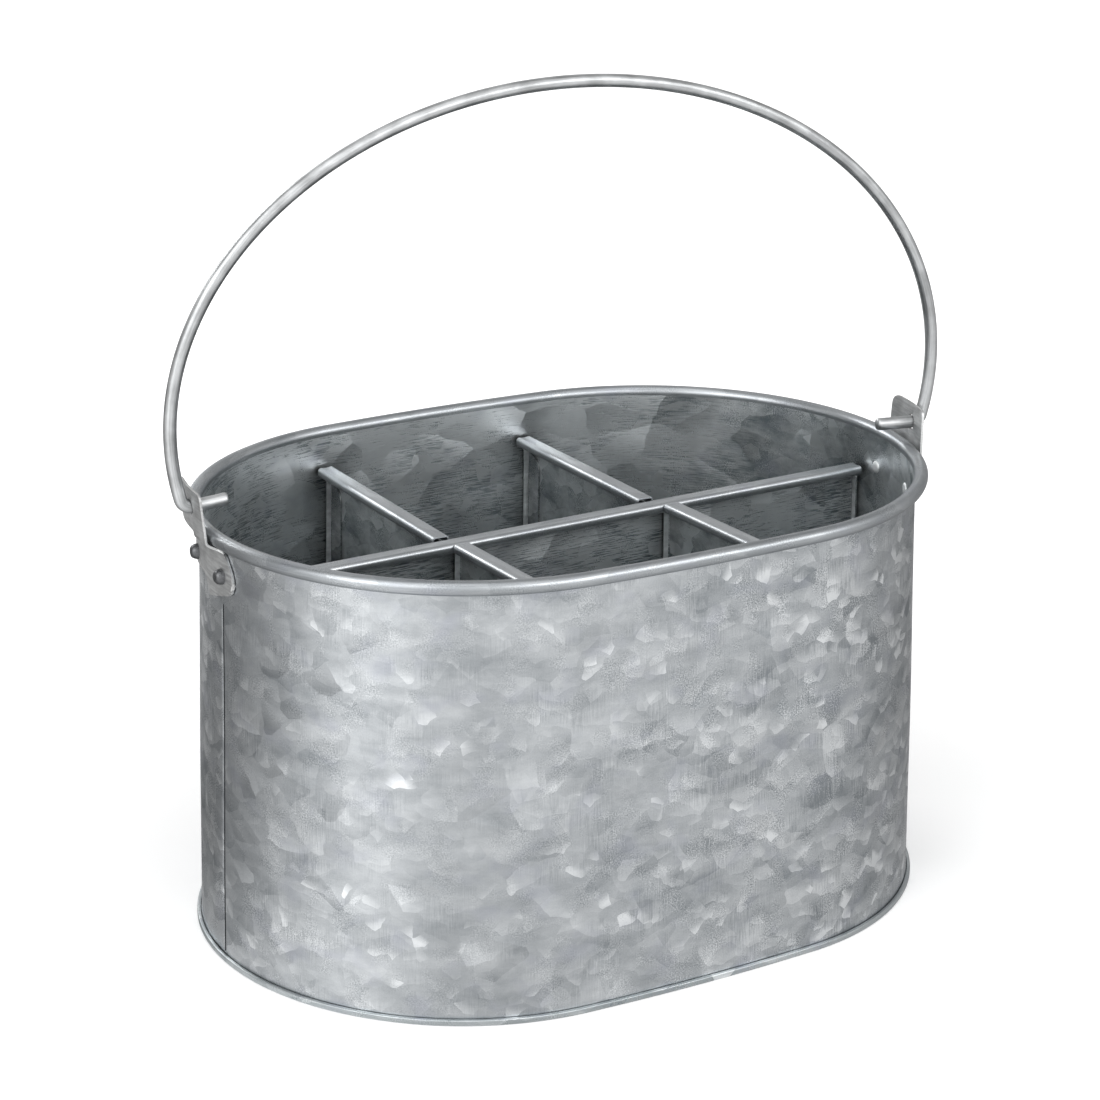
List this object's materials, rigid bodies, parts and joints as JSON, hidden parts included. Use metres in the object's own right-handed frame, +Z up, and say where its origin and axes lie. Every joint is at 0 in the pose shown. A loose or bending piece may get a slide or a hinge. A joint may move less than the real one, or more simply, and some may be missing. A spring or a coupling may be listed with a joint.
{
  "type": "table caddy",
  "caption": "Oval table caddy in galvanised sheet steel: open compartments set by hemmed dividers, a rolled rim and a swinging wire bail handle on riveted ears.",
  "frame": {"origin": "centre of the base's underside, the face it stands on", "axes": "+X along the oval to the right of the picture, -Y out of the long side that faces the camera, +Z up through the open top"},
  "size_m": [0.2856, 0.1938, 0.2951],
  "materials": {
    "wall_sheet": "galvanised sheet with a flaky zinc spangle, satin",
    "pan_sheet": "galvanised sheet, satin",
    "divider_sheet": "galvanised sheet with a flaky zinc spangle, satin, darker inside the body",
    "ear_sheet": "pressed zinc-plated sheet, matt",
    "rivet": "zinc-plated rivet, matt",
    "wire": "galvanised round wire, satin with drawn streaks"
  },
  "bodies": {
    "caddy_body": {"wall": "wall_sheet", "base_pan": "pan_sheet", "long_divider": "divider_sheet", "cross_divider_rear_left": "divider_sheet", "cross_divider_rear_right": "divider_sheet", "cross_divider_front_left": "divider_sheet", "cross_divider_front_right": "divider_sheet", "ear_left": "ear_sheet", "rivet_left_1": "rivet", "rivet_left_2": "rivet", "ear_right": "ear_sheet", "rivet_right_1": "rivet", "rivet_right_2": "rivet"},
    "bail": {"bail_handle": "wire"}
  },
  "joints": [
    {"name": "bail_swing", "type": "hinge", "parent": "caddy_body", "child": "bail", "pos_m": [-0.0009, -0.00458, 0.1603], "axis": [0.9905, -0.1377, 0], "range_deg": [-122, 129]}
  ]
}
